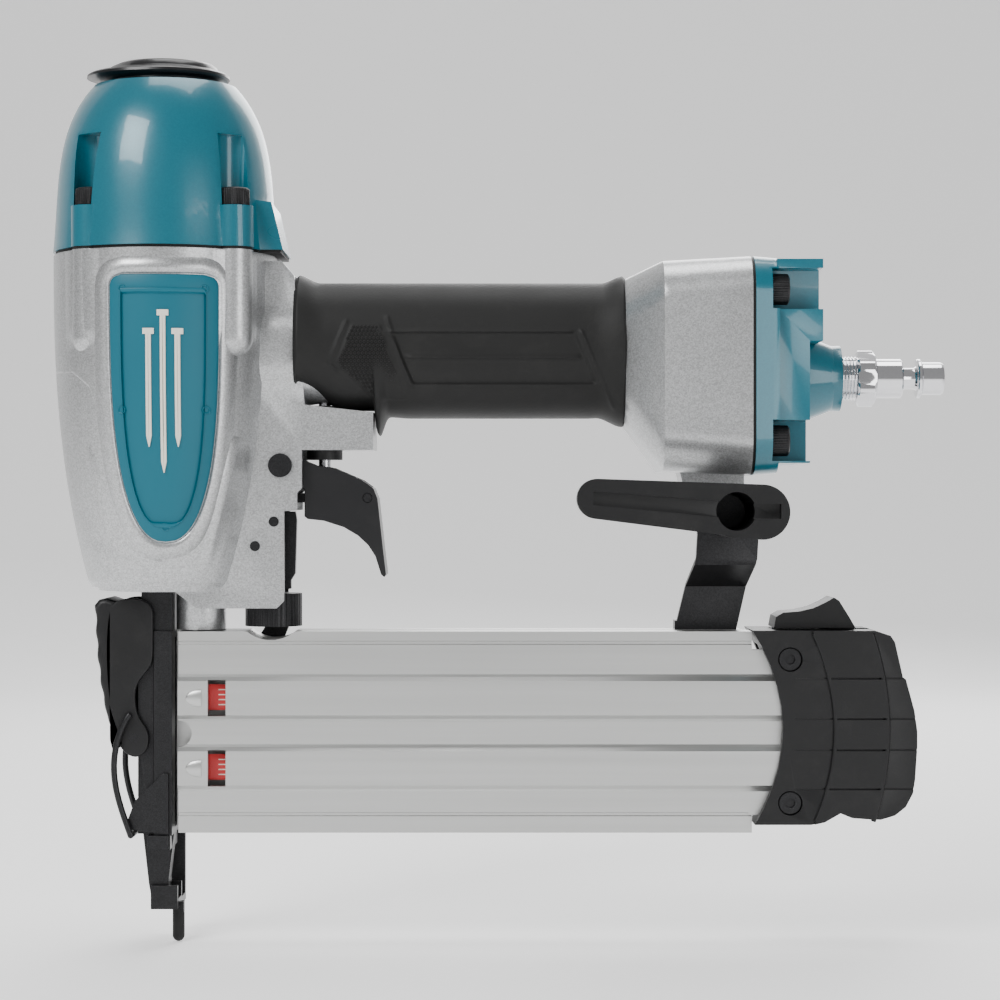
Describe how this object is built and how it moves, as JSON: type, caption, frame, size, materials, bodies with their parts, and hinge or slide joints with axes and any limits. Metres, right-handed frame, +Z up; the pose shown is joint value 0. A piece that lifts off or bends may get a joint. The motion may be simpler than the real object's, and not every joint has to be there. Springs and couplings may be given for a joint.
{
  "type": "pneumatic brad nailer",
  "caption": "Hand-held pneumatic brad nailer with a straight sliding magazine, quick-release nose door, depth dial, belt hook, rotating exhaust deflector and air plug.",
  "frame": {"origin": "centre of the nail exit at the tip of the nose, on the drive axis", "axes": "+Z up along the drive axis, +X from the nose towards the air plug, Y across the tool (the belt hook is at -Y)"},
  "size_m": [0.2505, 0.0801, 0.2481],
  "materials": {
    "cast_silver": "silver painted cast aluminium",
    "teal_paint": "gloss teal paint",
    "teal_rubber": "soft teal pad",
    "black_rubber": "matte rubber",
    "black_plastic": "grained moulding",
    "pusher_red": "red moulding",
    "black_oxide": "black oxide",
    "trigger_black": "satin",
    "extrusion": "satin anodised",
    "piston_alloy": "machined",
    "bright_steel": "ground",
    "brass_valve": "black valve body",
    "chrome": "polished"
  },
  "bodies": {
    "housing": {"housing": "cast_silver", "head_cap": "teal_paint", "cap_gasket": "black_rubber", "cap_screws": "black_oxide", "deflector_screw": "black_oxide", "left_badge": "teal_rubber", "right_badge": "teal_rubber", "cylinder_sleeve": "extrusion", "bumper": "black_rubber", "grip_sleeve": "black_rubber", "tail_gasket": "black_rubber", "end_cap": "teal_paint", "end_cap_screws": "black_oxide", "air_plug": "chrome", "trigger_pin": "black_oxide", "housing_pins": "black_oxide", "trigger_valve": "brass_valve", "nose_body": "black_oxide", "nose_screws": "black_oxide", "door_pin": "black_oxide", "magazine_rail": "extrusion", "magazine_screw": "black_oxide", "hanger_strap": "black_oxide", "hook_bolt": "black_oxide", "head_valve_spring": "bright_steel", "pusher_spring": "bright_steel"},
    "deflector": {"exhaust_deflector": "black_plastic"},
    "head_valve": {"head_valve": "piston_alloy"},
    "piston": {"piston": "piston_alloy", "piston_ring": "black_rubber", "driver_blade": "bright_steel"},
    "belt_hook": {"belt_hook": "black_plastic"},
    "trigger": {"trigger": "trigger_black", "lever_pin": "black_oxide"},
    "trigger_lever": {"trigger_lever": "black_oxide"},
    "valve_stem": {"valve_stem": "bright_steel"},
    "contact_arm": {"contact_arm_upper": "black_oxide"},
    "depth_dial": {"depth_dial": "black_oxide"},
    "contact_foot": {"contact_foot": "black_oxide", "tip_pad": "black_rubber"},
    "nose_door": {"nose_door": "black_oxide", "cam_pin": "black_oxide"},
    "cam_lever": {"cam_lever": "black_plastic"},
    "wire_bail": {"wire_bail": "black_oxide"},
    "magazine_cover": {"magazine_cover": "extrusion", "rear_cover": "black_plastic", "rear_cover_screws": "black_oxide", "latch_pin": "black_oxide"},
    "latch": {"latch_lever": "black_plastic"},
    "pusher": {"pusher": "pusher_red"}
  },
  "joints": [
    {"name": "deflector_spin", "type": "hinge", "parent": "housing", "child": "deflector", "pos_m": [0, 0, 0.232], "axis": [0, 0, 1], "continuous": true},
    {"name": "head_valve_slide", "type": "slide", "parent": "housing", "child": "head_valve", "axis": [0, 0, 1], "range_m": [0, 0.003], "stiffness_N_per_m": 2500, "springref_m": -0.002, "deforming": ["head_valve_spring"]},
    {"name": "piston_slide", "type": "slide", "parent": "housing", "child": "piston", "axis": [0, 0, -1], "range_m": [0, 0.076]},
    {"name": "belt_hook_turn", "type": "hinge", "parent": "housing", "child": "belt_hook", "pos_m": [0.1566, -0.03, 0.1106], "axis": [0, 1, 0], "range_deg": [-175, 175]},
    {"name": "trigger_pull", "type": "hinge", "parent": "housing", "child": "trigger", "pos_m": [0.0332, 0, 0.1232], "axis": [0, -1, 0], "range_deg": [0, 12], "stiffness_Nm_per_rad": 0.12, "springref_deg": -14.32},
    {"name": "trigger_lever_tilt", "type": "hinge", "parent": "trigger", "child": "trigger_lever", "pos_m": [0.0572, 0, 0.1142], "axis": [0, 1, 0], "range_deg": [0, 16]},
    {"name": "valve_stem_slide", "type": "slide", "parent": "housing", "child": "valve_stem", "axis": [0, 0, 1], "range_m": [0, 0.002]},
    {"name": "contact_arm_slide", "type": "slide", "parent": "housing", "child": "contact_arm", "axis": [0, 0, 1], "range_m": [0, 0.007], "stiffness_N_per_m": 250, "springref_m": -0.012},
    {"name": "depth_dial_turn", "type": "hinge", "parent": "contact_arm", "child": "depth_dial", "pos_m": [0.0304, 0, 0.0828], "axis": [0, 0, 1], "range_deg": [0, 1080]},
    {"name": "depth_slide", "type": "slide", "parent": "contact_arm", "child": "contact_foot", "axis": [0, 0, 1], "range_m": [0, 0.003]},
    {"name": "nose_door_open", "type": "hinge", "parent": "housing", "child": "nose_door", "pos_m": [-0.0046, 0, 0.0785], "axis": [0, 1, 0], "range_deg": [0, 44]},
    {"name": "cam_lever_open", "type": "hinge", "parent": "nose_door", "child": "cam_lever", "pos_m": [-0.0078, 0, 0.0472], "axis": [0, -1, 0], "range_deg": [0, 80]},
    {"name": "wire_bail_swing", "type": "hinge", "parent": "cam_lever", "child": "wire_bail", "pos_m": [-0.009, 0, 0.0536], "axis": [0, 1, 0], "range_deg": [0, 80]},
    {"name": "magazine_slide", "type": "slide", "parent": "housing", "child": "magazine_cover", "axis": [1, 0, 0], "range_m": [0, 0.15]},
    {"name": "latch_press", "type": "hinge", "parent": "magazine_cover", "child": "latch", "pos_m": [0.196, 0, 0.0725], "axis": [0, 1, 0], "range_deg": [0, 6], "stiffness_Nm_per_rad": 0.1, "springref_deg": -17.19},
    {"name": "pusher_slide", "type": "slide", "parent": "housing", "child": "pusher", "axis": [1, 0, 0], "range_m": [0, 0.08], "stiffness_N_per_m": 40, "springref_m": -0.02, "deforming": ["pusher_spring"]}
  ],
  "couplings": [
    {"joint": "trigger_lever_tilt", "follows": "contact_arm_slide", "rad_per_m": 38.647},
    {"joint": "valve_stem_slide", "follows": "trigger_pull", "m_per_rad": 0.009549},
    {"joint": "depth_slide", "follows": "depth_dial_turn", "m_per_rad": 0.00015915},
    {"joint": "cam_lever_open", "follows": "nose_door_open", "ratio": 1.6},
    {"joint": "wire_bail_swing", "follows": "nose_door_open", "ratio": 1.8}
  ]
}
